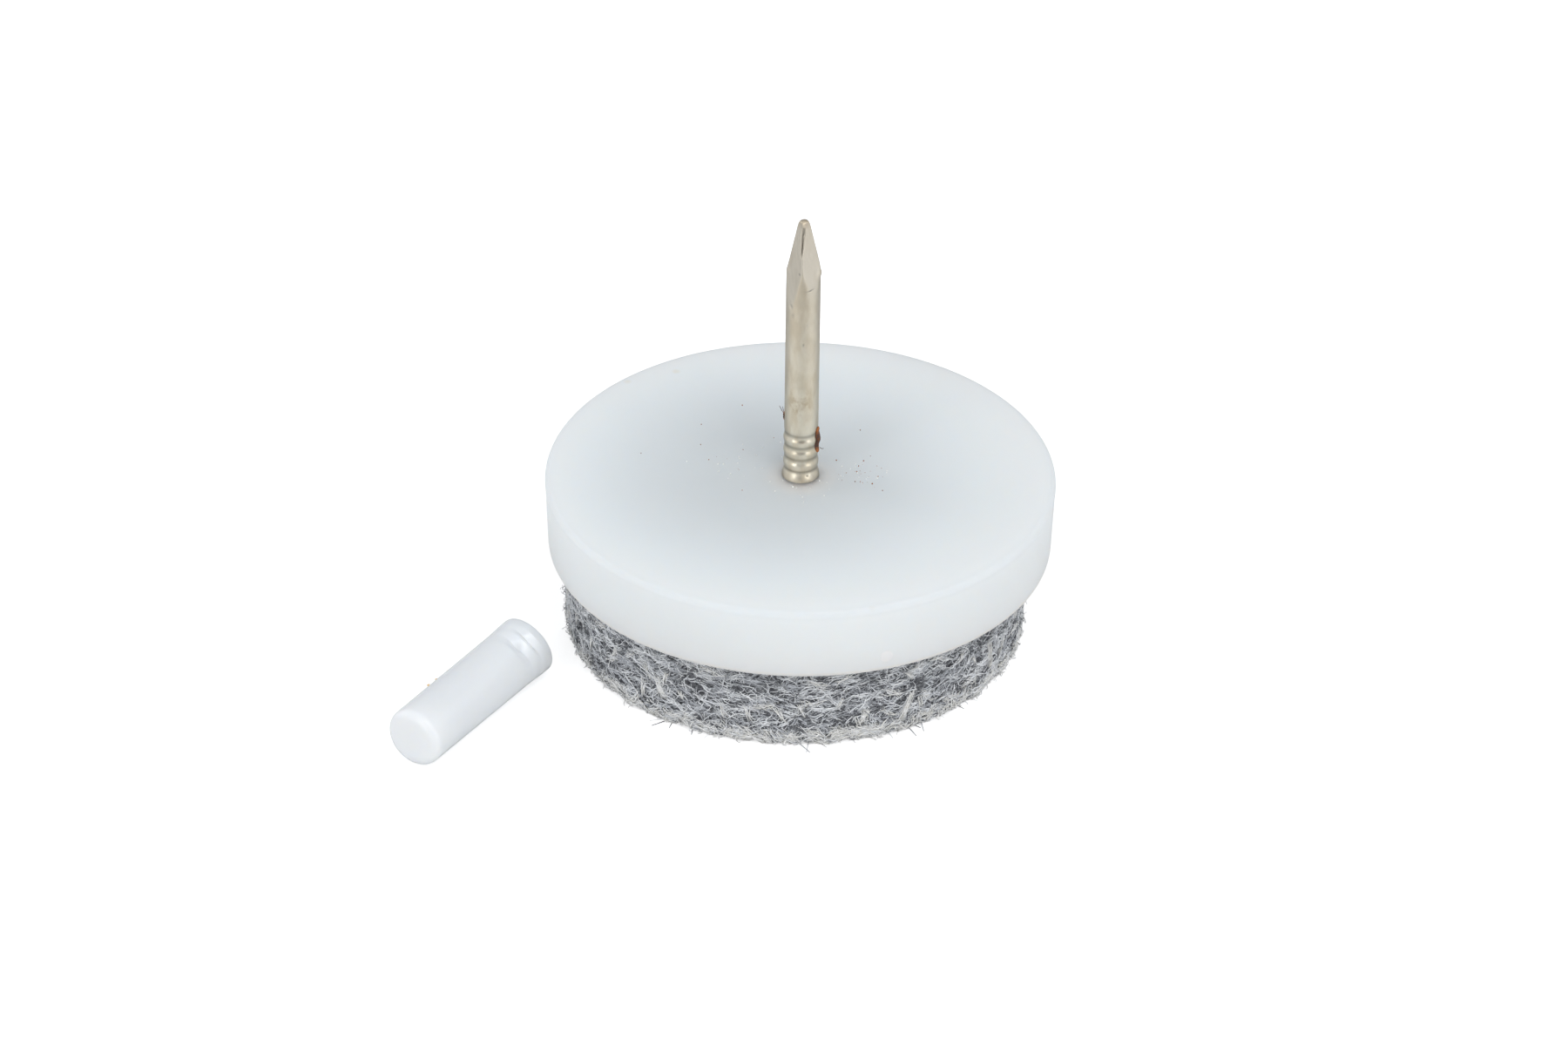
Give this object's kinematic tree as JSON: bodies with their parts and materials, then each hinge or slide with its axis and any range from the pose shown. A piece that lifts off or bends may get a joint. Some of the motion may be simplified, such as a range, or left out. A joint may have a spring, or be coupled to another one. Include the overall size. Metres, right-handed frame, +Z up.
{
  "type": "nail-on furniture glide",
  "caption": "Round plastic furniture glide with a ridged steel nail through its middle, a thick felt pad underneath and a loose soft cap for the nail's point.",
  "frame": {"origin": "on the nail's axis, on the floor under the felt pad", "axes": "+Z up along the nail towards its point; -Y is the front, the side with the moulding gate; the loose cap lies towards -X"},
  "size_m": [0.0385, 0.0315, 0.0275],
  "materials": {
    "disc_plastic": "satin moulded, milky and a little translucent",
    "nail_steel": "bright drawn wire with a warm plated tone and small pits",
    "felt_wool": "needled grey felt of dark and white fibres with a fuzzy edge",
    "cap_plastic": "soft, milky and translucent"
  },
  "bodies": {
    "root": {"glide_disc": "disc_plastic", "nail": "nail_steel", "felt_pad": "felt_wool", "nail_cap": "cap_plastic"}
  },
  "joints": []
}
